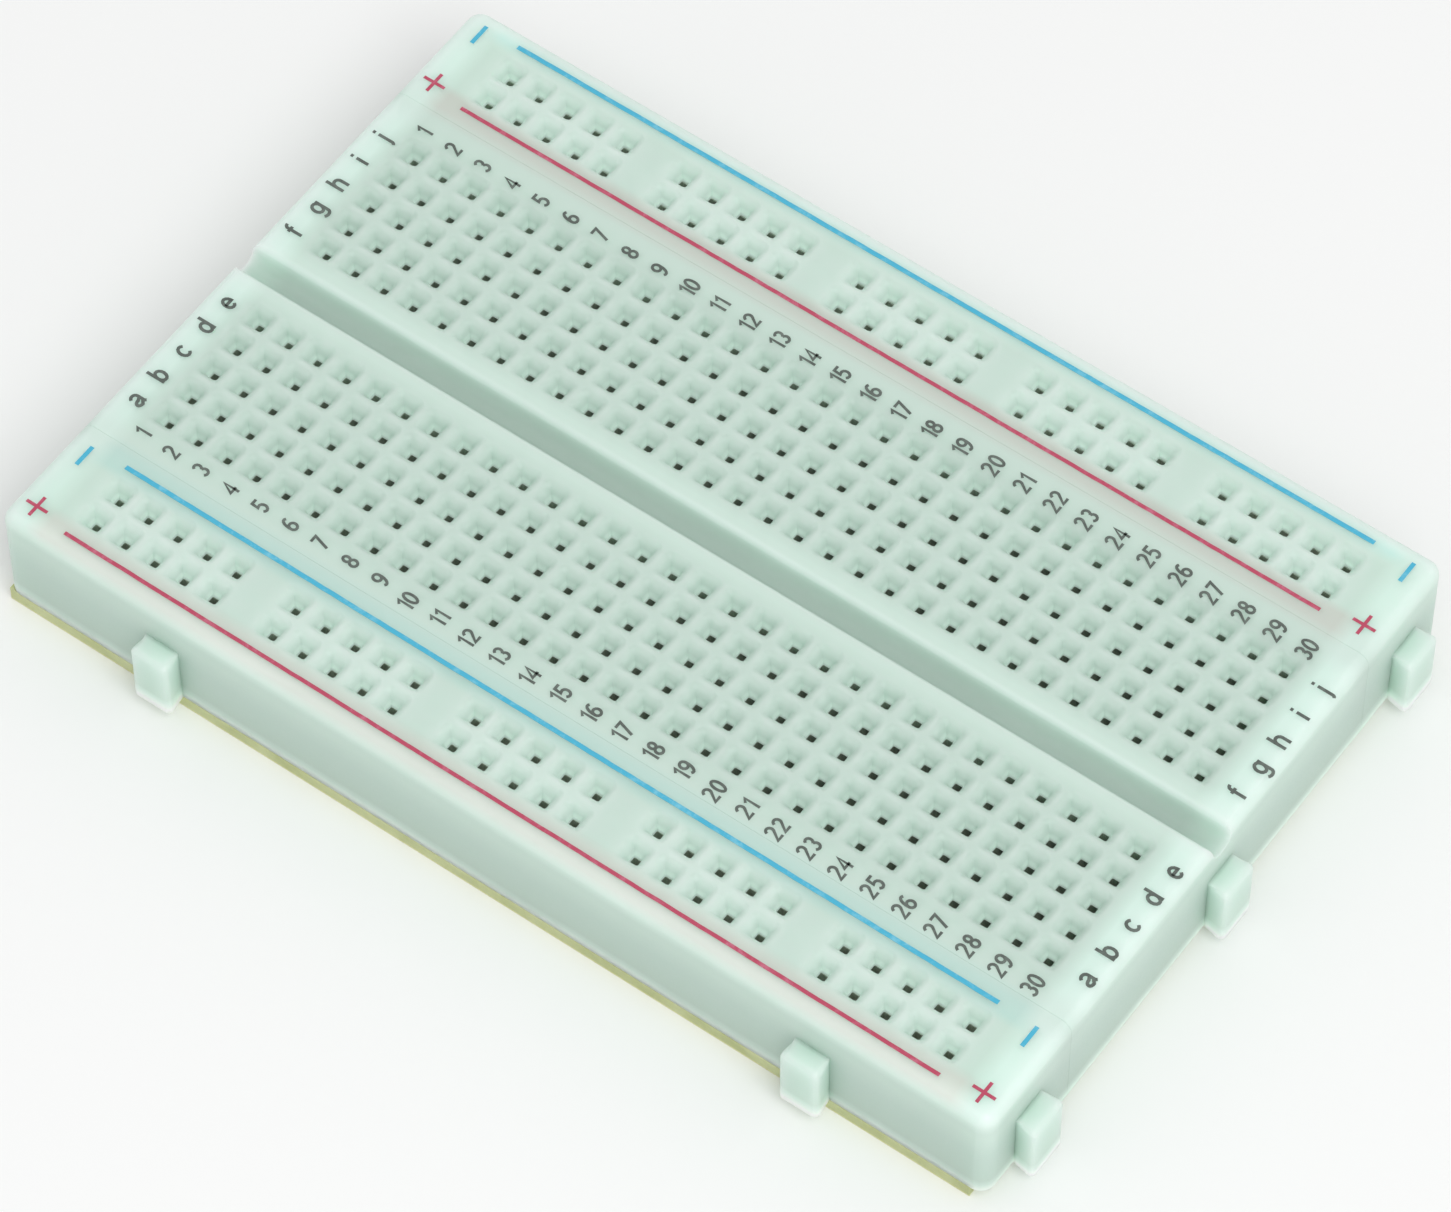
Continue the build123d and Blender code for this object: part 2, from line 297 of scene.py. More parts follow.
def add_dovetail(work, root, tip, grow, low, high, origin, quarter_turns, rounding):
    """One dovetail prism in a bmesh: root on the strip's face, tip standing out by the reach."""
    half_root, half_tip = root / 2 + grow, tip / 2 + grow
    outline = [(-half_root, TAB_SUNK_IN), (-half_root, 0.0), (-half_tip, -TAB_REACH - grow),
               (half_tip, -TAB_REACH - grow), (half_root, 0.0), (half_root, TAB_SUNK_IN)]
    turn = math.radians(90.0 * quarter_turns)
    turned = [(origin[0] + x * math.cos(turn) - y * math.sin(turn),
               origin[1] + x * math.sin(turn) + y * math.cos(turn)) for x, y in outline]
    lower = [work.verts.new((x, y, low)) for x, y in turned]
    upper = [work.verts.new((x, y, high)) for x, y in turned]
    count = len(turned)
    made = [work.faces.new(lower[::-1]), work.faces.new(upper)]
    for i in range(count):
        j = (i + 1) % count
        made.append(work.faces.new((lower[i], lower[j], upper[j], upper[i])))
    if rounding:
        tip_edges = [work.edges.get((lower[i], upper[i])) for i in (2, 3)]
        top_edges = [work.edges.get((upper[i], upper[i + 1])) for i in (1, 2, 3)]
        bmesh.ops.bevel(work, geom=tip_edges + top_edges, offset=rounding, offset_type="OFFSET",
                        segments=3, profile=0.5, affect="EDGES")


def dovetails(name, strip_low, strip_high, is_socket):
    """All of one strip's tabs, or the tools for all of its sockets."""
    work = bmesh.new()
    grow = SOCKET_CLEARANCE if is_socket else 0.0
    low = FOOT_Z - TOOL_PAST_FOOT if is_socket else FOOT_Z
    high = TAB_TOP_Z + SOCKET_HEADROOM if is_socket else TAB_TOP_Z
    rounding = 0.0 if is_socket else TAB_ROUND
    side_y = strip_high + SEAM_GAP if is_socket else strip_low
    for side in (-1, 1):
        add_dovetail(work, SIDE_TAB_ROOT, SIDE_TAB_TIP, grow, low, high, (side * SIDE_TAB_X, side_y), 0,
                     rounding)
    end_x = -HALF_LENGTH if is_socket else HALF_LENGTH
    end_place = (end_x, (strip_low + strip_high) / 2)
    add_dovetail(work, END_TAB_ROOT, END_TAB_TIP, grow, low, high, end_place, 1, rounding)
    mesh = bpy.data.meshes.new(name)
    bmesh.ops.recalc_face_normals(work, faces=work.faces)
    work.to_mesh(mesh)
    work.free()
    made = bpy.data.objects.new(name, mesh)
    bpy.context.scene.collection.objects.link(made)
    return made


def rounded_square(half, radius, z, steps=3):
    """Ring of points round a square with rounded corners, anticlockwise from the +X side."""
    points = []
    for quarter in range(4):
        middle = math.radians(45 + 90 * quarter)
        cx = math.copysign(half - radius, math.cos(middle))
        cy = math.copysign(half - radius, math.sin(middle))
        for step in range(steps):
            angle = math.radians(90 * quarter + 90 * step / (steps - 1))
            points.append((cx + radius * math.cos(angle), cy + radius * math.sin(angle), z))
    return points


def stacked_tool(name, rings):
    """Closed solid through a stack of equal rings, lowest first."""
    count = len(rings[0])
    vertices = [p for ring in rings for p in ring]
    faces = [tuple(range(count))[::-1], tuple(range((len(rings) - 1) * count, len(rings) * count))]
    for level in range(len(rings) - 1):
        for i in range(count):
            j = (i + 1) % count
            a, b = level * count, (level + 1) * count
            faces.append((a + i, a + j, b + j, b + i))
    made = mesh_object(name, vertices, faces)
    mend(made.data)
    return made


# The lead-in is a soft trumpet: nearly flat where it meets its neighbour, steep at the square throat.
FUNNEL_HALF, THROAT_HALF = 0.00123, 0.00038
FUNNEL_DEPTH, THROAT_FLOOR = 0.00100, -0.0021
THROAT_CORNER, FUNNEL_CORNER = 0.00010, 0.00060
rings = [rounded_square(THROAT_HALF, THROAT_CORNER, THROAT_FLOOR),
         rounded_square(THROAT_HALF, THROAT_CORNER, -FUNNEL_DEPTH)]
for step in (0.10, 0.30, 0.58, 1.0):
    half = THROAT_HALF + step * (FUNNEL_HALF - THROAT_HALF)
    corner = THROAT_CORNER + step ** 0.8 * (FUNNEL_CORNER - THROAT_CORNER)
    rings.append(rounded_square(half, corner, -FUNNEL_DEPTH * (1 - step) ** 1.7))
rings.append(rounded_square(FUNNEL_HALF, FUNNEL_CORNER, TOOL_PAST_TOP))
tie_point_tool = stacked_tool("tie_point_tool", rings)


def field_tree():
    """Geometry Nodes: cuts one tool out of a moulding at the points of a grid, a gap after each group."""
    tree = bpy.data.node_groups.new("tool_grid_cut", "GeometryNodeTree")
    ask = tree.interface.new_socket
    ask("Moulding", in_out="INPUT", socket_type="NodeSocketGeometry")
    for name, kind in (("Tool", "NodeSocketObject"), ("Columns", "NodeSocketInt"),
                       ("Rows", "NodeSocketInt"), ("Pitch", "NodeSocketFloat"),
                       ("Group size", "NodeSocketInt"), ("Centre", "NodeSocketVector"),
                       ("Plastic", "NodeSocketMaterial")):
        ask(name, in_out="INPUT", socket_type=kind)
    ask("Cut moulding", in_out="OUTPUT", socket_type="NodeSocketGeometry")
    start = node(tree, "NodeGroupInput", (-1200, 0))
    end = node(tree, "NodeGroupOutput", (1200, 0))
    link = tree.links.new

    def spans(socket, where):
        gaps = arithmetic(tree, "SUBTRACT", start.outputs[socket], 1.0, where)
        return arithmetic(tree, "MULTIPLY", gaps, start.outputs["Pitch"], (where[0] + 180, where[1]))

    grid = node(tree, "GeometryNodeMeshGrid", (-500, 200))
    link(spans("Columns", (-950, 300)), grid.inputs["Size X"])
    link(spans("Rows", (-950, 100)), grid.inputs["Size Y"])
    link(start.outputs["Columns"], grid.inputs["Vertices X"])
    link(start.outputs["Rows"], grid.inputs["Vertices Y"])
    # A grid's points run along Y first, so a point's column is its index over the rows.
    index = node(tree, "GeometryNodeInputIndex", (-950, -200))
    share = arithmetic(tree, "DIVIDE", index.outputs[0], start.outputs["Rows"], (-750, -200))
    column = arithmetic(tree, "FLOOR", share, None, (-600, -200))
    group_and_gap = arithmetic(tree, "ADD", start.outputs["Group size"], 1.0, (-750, -380))
    place = arithmetic(tree, "MODULO", column, group_and_gap, (-450, -200))
    missing = node(tree, "FunctionNodeCompare", (-300, -200), data_type="FLOAT", operation="EQUAL")
    link(place, missing.inputs[0])
    link(start.outputs["Group size"], missing.inputs[1])
    missing.inputs["Epsilon"].default_value = 0.01
    thin = node(tree, "GeometryNodeDeleteGeometry", (-100, 200), domain="POINT")
    link(grid.outputs["Mesh"], thin.inputs["Geometry"])
    link(missing.outputs[0], thin.inputs["Selection"])
    shift = node(tree, "GeometryNodeTransform", (80, 200))
    link(thin.outputs[0], shift.inputs["Geometry"])
    link(start.outputs["Centre"], shift.inputs["Translation"])
    tool = node(tree, "GeometryNodeObjectInfo", (80, -100), transform_space="ORIGINAL")
    link(start.outputs["Tool"], tool.inputs["Object"])
    copies = node(tree, "GeometryNodeInstanceOnPoints", (300, 150))
    link(shift.outputs[0], copies.inputs["Points"])
    link(tool.outputs["Geometry"], copies.inputs["Instance"])
    real = node(tree, "GeometryNodeRealizeInstances", (480, 150))
    link(copies.outputs[0], real.inputs[0])
    cut = node(tree, "GeometryNodeMeshBoolean", (680, 0), operation="DIFFERENCE", solver="MANIFOLD")
    link(start.outputs["Moulding"], cut.inputs["Mesh 1"])
    link(real.outputs[0], cut.inputs["Mesh 2"])
    finish = node(tree, "GeometryNodeSetMaterial", (900, 0))
    link(cut.outputs["Mesh"], finish.inputs["Geometry"])
    link(start.outputs["Plastic"], finish.inputs["Material"])
    link(finish.outputs[0], end.inputs[0])
    return tree


grid_cut = field_tree()


UNBROKEN = 1000


def cut_on_grid(moulding, tool, columns, rows, centre, group_size=UNBROKEN):
    """Adds the grid cut to a moulding, its inputs set by socket identifier."""
    cutter = moulding.modifiers.new(tool.name, "NODES")
    cutter.node_group = grid_cut
    values = {"Tool": tool, "Columns": columns, "Rows": rows, "Pitch": PITCH, "Group size": group_size,
              "Centre": centre, "Plastic": mint_plastic}
    for item in grid_cut.interface.items_tree:
        if item.in_out == "INPUT" and item.name in values:
            cutter[item.identifier] = values[item.name]


def merge_solid(moulding, other, operation):
    change = moulding.modifiers.new(other.name, "BOOLEAN")
    change.operation = operation
    change.solver = "MANIFOLD"
    change.object = other


MERGE_WITHIN = 0.0000004
SHARP_PAST_DEGREES = 34.0


def freeze(moulding, name):
    """Plain mesh of a moulding with all its cuts, shaded smooth between sharp edges."""
    bpy.context.view_layer.update()
    shaped = moulding.evaluated_get(bpy.context.evaluated_depsgraph_get())
    mesh = bpy.data.meshes.new_from_object(shaped)
    mesh.name = name
    mend(mesh, MERGE_WITHIN)
    made = bpy.data.objects.new(name, mesh)
    bpy.context.scene.collection.objects.link(made)
    mesh.materials.clear()
    mesh.materials.append(mint_plastic)
    for face in mesh.polygons:
        face.use_smooth = True
        face.material_index = 0
    mesh.set_sharp_from_angle(angle=math.radians(SHARP_PAST_DEGREES))
    weigh = made.modifiers.new("flat faces win", "WEIGHTED_NORMAL")
    weigh.keep_sharp = True
    weigh.weight = 100
    return made


def discard(*helpers):
    for helper in helpers:
        bpy.data.objects.remove(helper, do_unlink=True)


SLOT_HALF_WIDTH = 0.00095
SLOT_END = 0.00115
SLOT_ROOF, SLOT_FLOOR = -0.00155, -0.0100


def slot_tool(name, half_x, half_y):
    """Square-cornered tool for a contact slot, open through the foot."""
    rings = [[(half_x * a, half_y * b, z) for a, b in ((1, 1), (-1, 1), (-1, -1), (1, -1))]
             for z in (SLOT_FLOOR, SLOT_ROOF)]
    return stacked_tool(name, rings)


def strip_blank(name, low_y, high_y):
    """One strip's share of the rounded board outline, square at the seams, with tabs and sockets.
    Gives the blank and the helpers that its cuts still need."""
    blank = block(name, (-HALF_LENGTH, -HALF_WIDTH, FOOT_Z), (HALF_LENGTH, HALF_WIDTH, TOP_Z),
                  UPRIGHT_CORNER, TOP_RIM)
    beyond = 0.1
    share = block(name + "_share", (-beyond, low_y, -beyond), (beyond, high_y, beyond))
    tabs = dovetails(name + "_tabs", low_y, high_y, False)
    sockets = dovetails(name + "_sockets", low_y, high_y, True)
    merge_solid(blank, share, "INTERSECT")
    merge_solid(blank, tabs, "UNION")
    merge_solid(blank, sockets, "DIFFERENCE")
    return blank, share, tabs, sockets


main_half = SEAM_Y - SEAM_GAP / 2
main_blank, *main_helpers = strip_blank("main_blank", -main_half, main_half)

# Chip channel: half-round floor, upright sides and softly rounded shoulders, run out at both ends.
CHANNEL_HALF, CHANNEL_DEPTH, SHOULDER = 0.00108, 0.00165, 0.00048
SHOULDER_POINTS, FLOOR_STEPS = 5, 12
profile = [(CHANNEL_HALF + SHOULDER, TOOL_PAST_TOP)]
for step in range(SHOULDER_POINTS):
    angle = math.radians(90 + 22.5 * step)
    profile.append((CHANNEL_HALF + SHOULDER + SHOULDER * math.cos(angle),
                    -SHOULDER + SHOULDER * math.sin(angle)))
for step in range(FLOOR_STEPS + 1):
    angle = math.radians(-180 * step / FLOOR_STEPS)
    profile.append((CHANNEL_HALF * math.cos(angle),
                    -CHANNEL_DEPTH + CHANNEL_HALF + CHANNEL_HALF * math.sin(angle)))
for y, z in reversed(profile[1:SHOULDER_POINTS + 1]):
    profile.append((-y, z))
profile.append((-CHANNEL_HALF - SHOULDER, TOOL_PAST_TOP))
channel_tool = stacked_tool("channel_tool", [[(x, y, TOP_Z + z) for y, z in profile]
                                             for x in (-HALF_LENGTH - 0.001, HALF_LENGTH + 0.003)])
merge_solid(main_blank, channel_tool, "DIFFERENCE")

COLUMNS, BANK_ROWS = 30, 5
bank_middle = 3.5 * PITCH
terminal_slot_tool = slot_tool("terminal_slot_tool", SLOT_HALF_WIDTH, 2 * PITCH + SLOT_END)
for side in (-1, 1):
    cut_on_grid(main_blank, terminal_slot_tool, COLUMNS, 1, (0.0, side * bank_middle, TOP_Z))
    cut_on_grid(main_blank, tie_point_tool, COLUMNS, BANK_ROWS, (0.0, side * bank_middle, TOP_Z))
terminal_strip = freeze(main_blank, "terminal_strip_moulding")
discard(main_blank, *main_helpers, channel_tool, terminal_slot_tool)
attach(terminal_strip, "terminal_strip")
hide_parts("terminal_strip_housing")


# ---------------------------------------------------------------------------
# Power rail housings. The front and back rails are narrow mouldings in the
# same plastic, each with two rows of tie points in five groups of five. They
# hang on the terminal strip by dovetails and lift off it.
# ---------------------------------------------------------------------------
RAIL_ROW_Y = 0.02235
RAIL_PLACES, RAIL_GROUP = 29, 5
bus_slot_tool = slot_tool("bus_slot_tool", 14 * PITCH + SLOT_END, SLOT_HALF_WIDTH)
for label, side in (("front_rail", -1), ("back_rail", 1)):
    low_y, high_y = sorted((side * HALF_WIDTH, side * (SEAM_Y + SEAM_GAP / 2)))
    blank, *rail_helpers = strip_blank(label + "_blank", low_y, high_y)
    for row in (-0.5, 0.5):
        cut_on_grid(blank, bus_slot_tool, 1, 1, (0.0, side * RAIL_ROW_Y + row * PITCH, TOP_Z))
    cut_on_grid(blank, tie_point_tool, RAIL_PLACES, 2, (0.0, side * RAIL_ROW_Y, TOP_Z),
                group_size=RAIL_GROUP)
    rail = freeze(blank, label + "_moulding")
    discard(blank, *rail_helpers)
    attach(rail, label)
    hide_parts(label + "_housing")
discard(bus_slot_tool, tie_point_tool)


# ---------------------------------------------------------------------------
# Contact clips. Each is pressed from thin phosphor bronze strip, slit into
# pairs of leaves, folded into a channel and nickel plated; they drop into
# the slots from below and the foam pad holds them in.
# ---------------------------------------------------------------------------
spring_metal, tree, shader, here = new_material("nickel_plated_spring_strip")
rolled = node(tree, "ShaderNodeMapping", (-750, 0))
rolled.inputs["Scale"].default_value = (1.0, 1.0, 0.06)
tree.links.new(here, rolled.inputs["Vector"])
streaks = noise(tree, rolled.outputs[0], 9000.0, 3.0, (-500, 0))
nickel_colour = colour_ramp(tree, streaks, [(0.3, (0.46, 0.45, 0.41)), (0.7, (0.64, 0.63, 0.59))], (0, 200))
tree.links.new(nickel_colour, shader.inputs["Base Color"])
tree.links.new(remap(tree, streaks, 0.3, 0.7, 0.28, 0.42, (0, -100)), shader.inputs["Roughness"])
shader.inputs["Metallic"].default_value = 1.0
bump(tree, shader, streaks, 0.1, 0.00001)
for name, cad_node in nodes.items():
    if "clip" in name:
        cad_node.data.materials.clear()
        cad_node.data.materials.append(spring_metal)


# ---------------------------------------------------------------------------
# Foam pads and release liners. Closed-cell foam tape, sticky on both sides,
# closes each strip from below; a waxed yellow paper covers its outer face
# until the board is stuck down.
# ---------------------------------------------------------------------------
foam, tree, shader, here = new_material("yellow_foam_tape")
cells = node(tree, "ShaderNodeTexVoronoi", (-600, 0))
cells.inputs["Scale"].default_value = 5500.0
tree.links.new(here, cells.inputs["Vector"])
tint = noise(tree, here, 350.0, 3.0, (-600, 300))
tree.links.new(colour_ramp(tree, tint, [(0.3, (0.47, 0.51, 0.25)), (0.7, (0.60, 0.64, 0.36))], (0, 250)),
               shader.inputs["Base Color"])
shader.inputs["Roughness"].default_value = 0.9
shader.inputs["Subsurface Weight"].default_value = 0.3
shader.inputs["Subsurface Radius"].default_value = (1.0, 0.9, 0.4)
shader.inputs["Subsurface Scale"].default_value = 0.0004
bump(tree, shader, cells.outputs["Distance"], 0.6, 0.00008)

liner_paper, tree, shader, here = new_material("waxed_release_paper")
fibres = node(tree, "ShaderNodeMapping", (-750, 0))
fibres.inputs["Scale"].default_value = (1.0, 3.0, 3.0)
tree.links.new(here, fibres.inputs["Vector"])
pulp = noise(tree, fibres.outputs[0], 900.0, 5.0, (-500, 0), 0.65)
tree.links.new(colour_ramp(tree, pulp, [(0.3, (0.58, 0.59, 0.25)), (0.7, (0.69, 0.69, 0.36))], (0, 250)),
               shader.inputs["Base Color"])
shader.inputs["Roughness"].default_value = 0.42
shader.inputs["Coat Weight"].default_value = 0.25
shader.inputs["Coat Roughness"].default_value = 0.3
bump(tree, shader, pulp, 0.25, 0.00003)
for strip in ("terminal_strip", "front_rail", "back_rail"):
    for part, material in (("_foam_pad", foam), ("_release_liner", liner_paper)):
        nodes[strip + part].data.materials.clear()
        nodes[strip + part].data.materials.append(material)


# ---------------------------------------------------------------------------
# Printed legends. Row letters, column numbers, polarity marks and bus lines
# are screen printed on the top faces in dark grey, red and blue ink, each a
# film about two hundredths of a millimetre thick.
# ---------------------------------------------------------------------------
INK_LIFT, INK_SUNK = 0.000018, 0.00001
STACK_LIFT = 0.000001


def ink(name, light, dark, edge_wear):
    material, tree, shader, here = new_material(name)
    patches = noise(tree, here, 1500.0, 4.0, (-600, 0), 0.7)
    tree.links.new(colour_ramp(tree, patches, [(0.28, light), (edge_wear, dark)], (0, 200)),
                   shader.inputs["Base Color"])
    shader.inputs["Roughness"].default_value = 0.5
    bump(tree, shader, patches, 0.1, 0.00001)
    return material


dark_ink = ink("dark_grey_ink", (0.170, 0.205, 0.180), (0.095, 0.115, 0.100), 0.55)
red_ink = ink("red_ink", (0.60, 0.18, 0.26), (0.50, 0.060, 0.120), 0.50)
blue_ink = ink("blue_ink", (0.20, 0.58, 0.74), (0.065, 0.46, 0.66), 0.50)


def bow(cx, cy, rx, ry, start, end, steps=9):
    """Points along an elliptical arc, angles in degrees."""
    angles = [math.radians(start + (end - start) * i / (steps - 1)) for i in range(steps)]
    return [(cx + rx * math.cos(angle), cy + ry * math.sin(angle)) for angle in angles]


# Strokes of each character in a box one unit high, drawn along their middle line.
STROKES = {
    "0": [bow(0.28, 0.5, 0.22, 0.44, 90, 450, 17)],
    "1": [[(0.08, 0.76), (0.30, 0.95), (0.30, 0.0)]],
    "2": [bow(0.28, 0.71, 0.21, 0.23, 165, -30, 10) + [(0.07, 0.06), (0.52, 0.06)]],
    "3": [bow(0.27, 0.72, 0.20, 0.22, 150, -75, 9), bow(0.27, 0.28, 0.22, 0.22, 78, -150, 10)],
    "4": [[(0.40, 0.0), (0.40, 0.96), (0.05, 0.30), (0.54, 0.30)]],
    "5": [[(0.48, 0.94), (0.12, 0.94), (0.09, 0.53)] + bow(0.26, 0.32, 0.22, 0.26, 110, -145, 10)],
    "6": [bow(0.28, 0.30, 0.22, 0.24, 0, 360, 15), bow(0.32, 0.42, 0.26, 0.52, 62, 195, 8)],
    "7": [[(0.05, 0.94), (0.50, 0.94), (0.20, 0.0)]],
    "8": [bow(0.28, 0.73, 0.18, 0.21, 0, 360, 13), bow(0.28, 0.28, 0.22, 0.23, 0, 360, 15)],
    "9": [bow(0.28, 0.70, 0.22, 0.24, 0, 360, 15), bow(0.24, 0.58, 0.26, 0.52, -118, 15, 8)],
    "a": [bow(0.27, 0.50, 0.20, 0.19, 155, 0, 8) + [(0.47, 0.12), (0.53, 0.05)],
          [(0.47, 0.42)] + bow(0.24, 0.19, 0.19, 0.14, 80, 280, 9) + [(0.47, 0.22)]],
    "b": [[(0.08, 0.98), (0.08, 0.0)], bow(0.29, 0.35, 0.21, 0.30, 180, -180, 15)],
    "c": [bow(0.29, 0.35, 0.22, 0.30, 42, 318, 12)],
    "d": [[(0.50, 0.98), (0.50, 0.0)], bow(0.29, 0.35, 0.21, 0.30, 0, 360, 15)],
    "e": [[(0.08, 0.37), (0.50, 0.37)] + bow(0.29, 0.36, 0.21, 0.30, 8, 318, 13)],
    "f": [[(0.19, 0.0), (0.19, 0.78)] + bow(0.34, 0.78, 0.15, 0.15, 170, 80, 5),
          [(0.04, 0.64), (0.36, 0.64)]],
    "g": [bow(0.29, 0.36, 0.21, 0.29, 0, 360, 15),
          [(0.50, 0.68), (0.50, -0.06)] + bow(0.29, -0.08, 0.21, 0.17, -5, -150, 8)],
    "h": [[(0.08, 0.98), (0.08, 0.0)],
          [(0.08, 0.42)] + bow(0.29, 0.44, 0.20, 0.22, 150, 0, 7) + [(0.49, 0.0)]],
    "i": [[(0.10, 0.66), (0.10, 0.0)], [(0.10, 0.98), (0.10, 0.84)]],
    "j": [[(0.15, 0.66), (0.15, -0.10)] + bow(0.03, -0.10, 0.12, 0.14, -10, -80, 4),
          [(0.15, 0.98), (0.15, 0.84)]],
}


def ribbon(vertices, faces, line, width, top):
    """Closed film along a line of points: mitred sides, square ends."""
    closed = (Vector(line[0]) - Vector(line[-1])).length < width * 0.1
    if closed:
        line = line[:-1]
    count = len(line)
    left, right = [], []
    for i, point in enumerate(line):
        here = Vector(point)
        before = Vector(line[i - 1]) if i or closed else None
        after = Vector(line[(i + 1) % count]) if i < count - 1 or closed else None
        along_in = (here - before).normalized() if before is not None else (after - here).normalized()
        along_out = (after - here).normalized() if after is not None else along_in
        across = (Vector((-along_in.y, along_in.x)) + Vector((-along_out.y, along_out.x))).normalized()
        stretch = min(1.6, 1.0 / max(0.3, across.dot(Vector((-along_in.y, along_in.x)))))
        left.append(here + across * width / 2 * stretch)
        right.append(here - across * width / 2 * stretch)
    base = len(vertices)
    for i in range(count):
        for side in (left[i], right[i]):
            for z in (TOP_Z - INK_SUNK, top):
                vertices.append((side.x, side.y, z))
    # Four points to a station: left low, left high, right low, right high.
    for i in range(count if closed else count - 1):
        a, b = base + 4 * i, base + 4 * ((i + 1) % count)
        faces.append((a + 1, a + 3, b + 3, b + 1))
        faces.append((a, b, b + 2, a + 2))
        faces.append((a, a + 1, b + 1, b))
        faces.append((a + 2, b + 2, b + 3, a + 3))
    if not closed:
        a, b = base, base + 4 * (count - 1)
        faces.append((a, a + 2, a + 3, a + 1))
        faces.append((b, b + 1, b + 3, b + 2))


LETTER_SPACE = 0.10


def write(vertices, faces, text, middle, height, narrow, weight, align=0.5):
    """Characters reading along +Y with their tops towards -X."""
    advance = 0.0
    widths = []
    for character in text:
        widths.append(max(x for stroke in STROKES[character] for x, _ in stroke) + 0.08)
    total = sum(widths) + LETTER_SPACE * (len(text) - 1)
    x0, y0 = middle
    for character, width in zip(text, widths):
        for number, stroke in enumerate(STROKES[character]):
            line = [(x0 + height * (0.5 - v), y0 + height * narrow * (advance + u - total * align))
                    for u, v in stroke]
            ribbon(vertices, faces, line, weight, TOP_Z + INK_LIFT + STACK_LIFT * number)
        advance += width + LETTER_SPACE


def print_piece(name, vertices, faces, material, body):
    made = mesh_object(name, vertices, faces)
    mend(made.data)
    made.data.materials.append(material)
    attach(made, body)


NUMBER_PITCH, NUMBER_Y = 0.002575, 0.01590
NUMBER_HEIGHT, NUMBER_NARROW, NUMBER_WEIGHT = 0.00132, 0.92, 0.00021
LETTER_LEFT_X, LETTER_RIGHT_X, LETTER_FORWARD = -0.03955, 0.03985, 0.0002
LETTER_HEIGHT, LETTER_WEIGHT = 0.00156, 0.00024
vertices, faces = [], []
for number in range(1, COLUMNS + 1):
    x = (number - 15.5) * NUMBER_PITCH
    for y, align in ((-NUMBER_Y, 1.0), (NUMBER_Y, 0.5)):
        write(vertices, faces, str(number), (x, y), NUMBER_HEIGHT, NUMBER_NARROW, NUMBER_WEIGHT, align)
for place, letter in enumerate("abcdefghij"):
    row = place if place < BANK_ROWS else place + 2
    y = (row - 5.5) * PITCH
    for x in (LETTER_LEFT_X, LETTER_RIGHT_X):
        write(vertices, faces, letter, (x, y - LETTER_FORWARD), LETTER_HEIGHT, 1.0, LETTER_WEIGHT)
print_piece("terminal_strip_legend", vertices, faces, dark_ink, "terminal_strip")

# Each rail has a blue line with minus signs and a red line with plus signs: line, then sign, by their Y.
RAIL_PRINT = {
    "front_rail": {"blue": (-0.01908, -0.0200), "red": (-0.02582, -0.0252)},
    "back_rail": {"blue": (0.02582, 0.0251), "red": (0.01908, 0.0198)},
}
LINE_START_X, LINE_LENGTH, LINE_STEPS = -0.0365, 0.0728, 90
LINE_WAVER = 0.000012
SIGN_X, SIGN_HALF = 0.0394, 0.0009
shake = random.Random(7)
for label, prints in RAIL_PRINT.items():
    for colour, material, weight, bar in (("blue", blue_ink, 0.00036, 0.00032),
                                          ("red", red_ink, 0.00030, 0.00025)):
        line_y, sign_y = prints[colour]
        vertices, faces = [], []
        line = [(LINE_START_X + LINE_LENGTH * i / LINE_STEPS,
                 line_y + shake.uniform(-LINE_WAVER, LINE_WAVER)) for i in range(LINE_STEPS + 1)]
        ribbon(vertices, faces, line, weight, TOP_Z + INK_LIFT)
        for x in (-SIGN_X, SIGN_X):
            ribbon(vertices, faces, [(x, sign_y - SIGN_HALF), (x, sign_y + SIGN_HALF)], bar,
                   TOP_Z + INK_LIFT)
            if colour == "red":
                ribbon(vertices, faces, [(x - SIGN_HALF, sign_y), (x + SIGN_HALF, sign_y)], bar,
                       TOP_Z + INK_LIFT + STACK_LIFT)
        print_piece(f"{label}_{colour}_marks", vertices, faces, material, label)


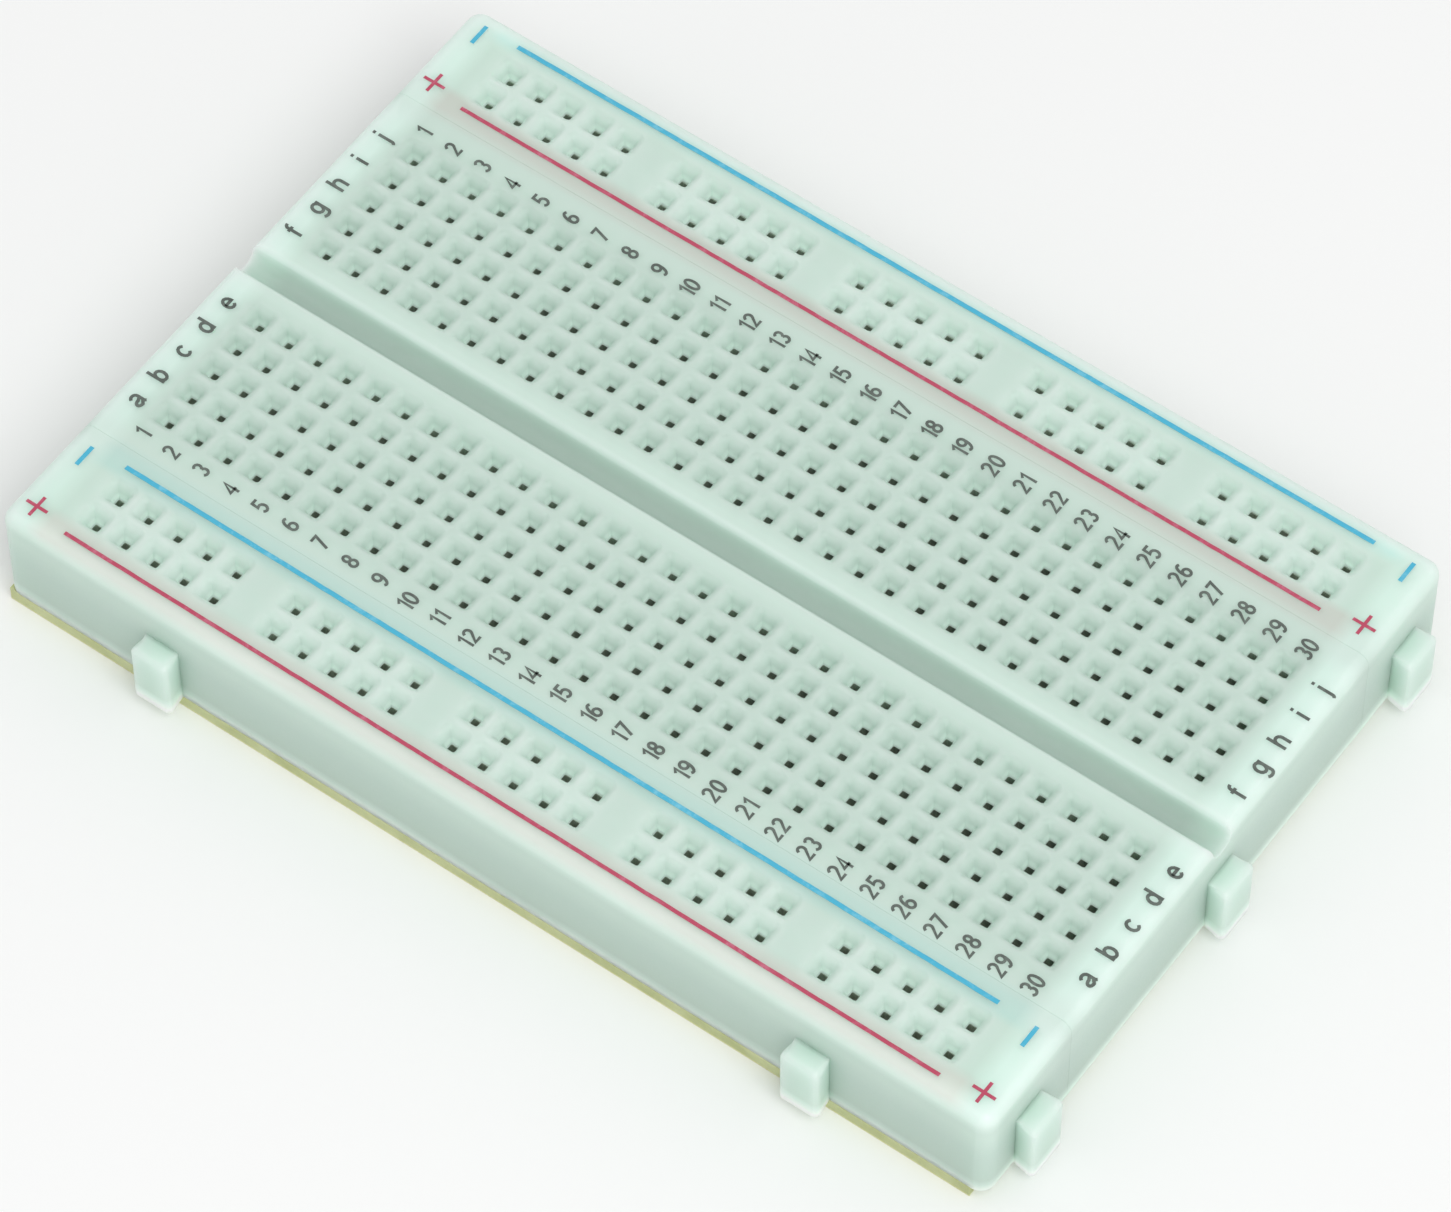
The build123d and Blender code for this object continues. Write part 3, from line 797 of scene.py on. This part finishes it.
# ---------------------------------------------------------------------------
# Bench, light and camera. A plain pale bench under a soft box and an even
# white sky, with the board seen from above its front and column 30 sides.
# ---------------------------------------------------------------------------
BENCH_HALF, BENCH_Z = 3, -0.00002
floor = mesh_object("bench", [(-BENCH_HALF, -BENCH_HALF, BENCH_Z), (BENCH_HALF, -BENCH_HALF, BENCH_Z),
                              (BENCH_HALF, BENCH_HALF, BENCH_Z), (-BENCH_HALF, BENCH_HALF, BENCH_Z)],
                    [(0, 1, 2, 3)])
bench_paint, tree, shader, here = new_material("pale_bench")
haze = noise(tree, here, 3.0, 2.0, (-600, 0))
bench_colour = colour_ramp(tree, haze, [(0.3, (0.93, 0.935, 0.93)), (0.7, (0.95, 0.955, 0.95))], (0, 200))
tree.links.new(bench_colour, shader.inputs["Base Color"])
shader.inputs["Roughness"].default_value = 0.8
shader.inputs["Specular IOR Level"].default_value = 0.2
floor.data.materials.append(bench_paint)

world = bpy.data.worlds.new("studio")
bpy.context.scene.world = world
world.use_nodes = True
world.node_tree.nodes["Background"].inputs["Color"].default_value = (1.0, 1.0, 1.0, 1)
world.node_tree.nodes["Background"].inputs["Strength"].default_value = 0.72


def soft_box(name, place, aim, size, power):
    light = bpy.data.lights.new(name, "AREA")
    light.shape = "RECTANGLE"
    light.size, light.size_y = size
    light.energy = power
    made = bpy.data.objects.new(name, light)
    made.location = place
    made.rotation_mode = "QUATERNION"
    made.rotation_quaternion = (Vector(aim) - Vector(place)).to_track_quat("-Z", "Y")
    bpy.context.scene.collection.objects.link(made)


soft_box("key_soft_box", (0.50, -0.30, 0.80), (0, 0, 0), (0.6, 0.6), 3.8)

camera_data = bpy.data.cameras.new("camera")
camera = bpy.data.objects.new("camera", camera_data)
bpy.context.scene.collection.objects.link(camera)
camera_data.sensor_width = 36.0
camera_data.lens = 190.1
azimuth, elevation, distance = math.radians(35.88), math.radians(56.29), 0.5202
aim = Vector((0.00310, -0.00370, TOP_Z - 0.00105))
back = Vector((math.sin(azimuth) * math.cos(elevation), -math.cos(azimuth) * math.cos(elevation),
               math.sin(elevation)))
camera.location = aim + back * distance
camera.rotation_mode = "QUATERNION"
camera.rotation_quaternion = (-back).to_track_quat("-Z", "Y")
camera_data.clip_start, camera_data.clip_end = 0.01, 20.0
bpy.context.scene.camera = camera
bpy.context.scene.view_settings.view_transform = "Standard"
